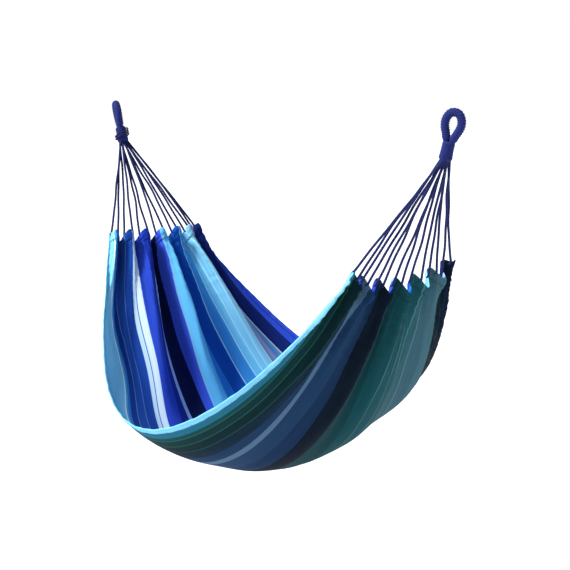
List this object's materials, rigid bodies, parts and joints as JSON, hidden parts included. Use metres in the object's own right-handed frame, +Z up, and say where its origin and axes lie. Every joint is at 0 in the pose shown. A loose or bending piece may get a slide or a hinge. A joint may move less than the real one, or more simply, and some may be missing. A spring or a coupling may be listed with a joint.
{
  "type": "gathered-end fabric hammock",
  "caption": "Striped fabric hammock hung by its two ends: each end is gathered on cord loops that run up to a cord-wrapped hanging eye.",
  "frame": {"origin": "the spot inside the left eye's crown where its hook bears", "axes": "+X from the left eye to the right eye, +Y from the near rim to the far rim, +Z up"},
  "size_m": [1.8143, 1.1282, 1.2804],
  "materials": {
    "striped_cloth": "matte striped woven cotton",
    "hem_cloth": "matte woven cotton, folded and stitched",
    "clew_cord": "matte braided cord",
    "wrapped_cord": "matte tightly wound cord",
    "tie_cord": "matte twisted cord"
  },
  "bodies": {
    "necks": {"left_neck_whipping": "wrapped_cord", "right_neck_whipping": "wrapped_cord", "left_tie_cord": "tie_cord"},
    "left_eye": {"left_eye_loop": "clew_cord", "left_eye_serving": "wrapped_cord"},
    "right_eye": {"right_eye_loop": "clew_cord", "right_eye_serving": "wrapped_cord"},
    "sling": {"bed_fabric": "striped_cloth", "near_side_hem": "hem_cloth", "far_side_hem": "hem_cloth", "left_end_hem": "hem_cloth", "right_end_hem": "hem_cloth", "left_clew_cord_1": "clew_cord", "left_clew_cord_2": "clew_cord", "left_clew_cord_3": "clew_cord", "left_clew_cord_4": "clew_cord", "left_clew_cord_5": "clew_cord", "left_clew_cord_6": "clew_cord", "left_clew_cord_7": "clew_cord", "right_clew_cord_1": "clew_cord", "right_clew_cord_2": "clew_cord", "right_clew_cord_3": "clew_cord", "right_clew_cord_4": "clew_cord", "right_clew_cord_5": "clew_cord", "right_clew_cord_6": "clew_cord", "right_clew_cord_7": "clew_cord"}
  },
  "joints": [
    {"name": "left_eye_twist", "type": "hinge", "parent": "necks", "child": "left_eye", "pos_m": [0.0427, 0, -0.12912], "axis": [0.314, 0, -0.9494], "range_deg": [-90, 90]},
    {"name": "right_eye_twist", "type": "hinge", "parent": "necks", "child": "right_eye", "pos_m": [1.71374, 0, -0.1308], "axis": [-0.274, 0, -0.9617], "range_deg": [-90, 90]},
    {"name": "sling_swing", "type": "hinge", "parent": "necks", "child": "sling", "pos_m": [0.0427, 0, -0.12912], "axis": [1, 0, -0.001], "range_deg": [-30, 30]}
  ]
}
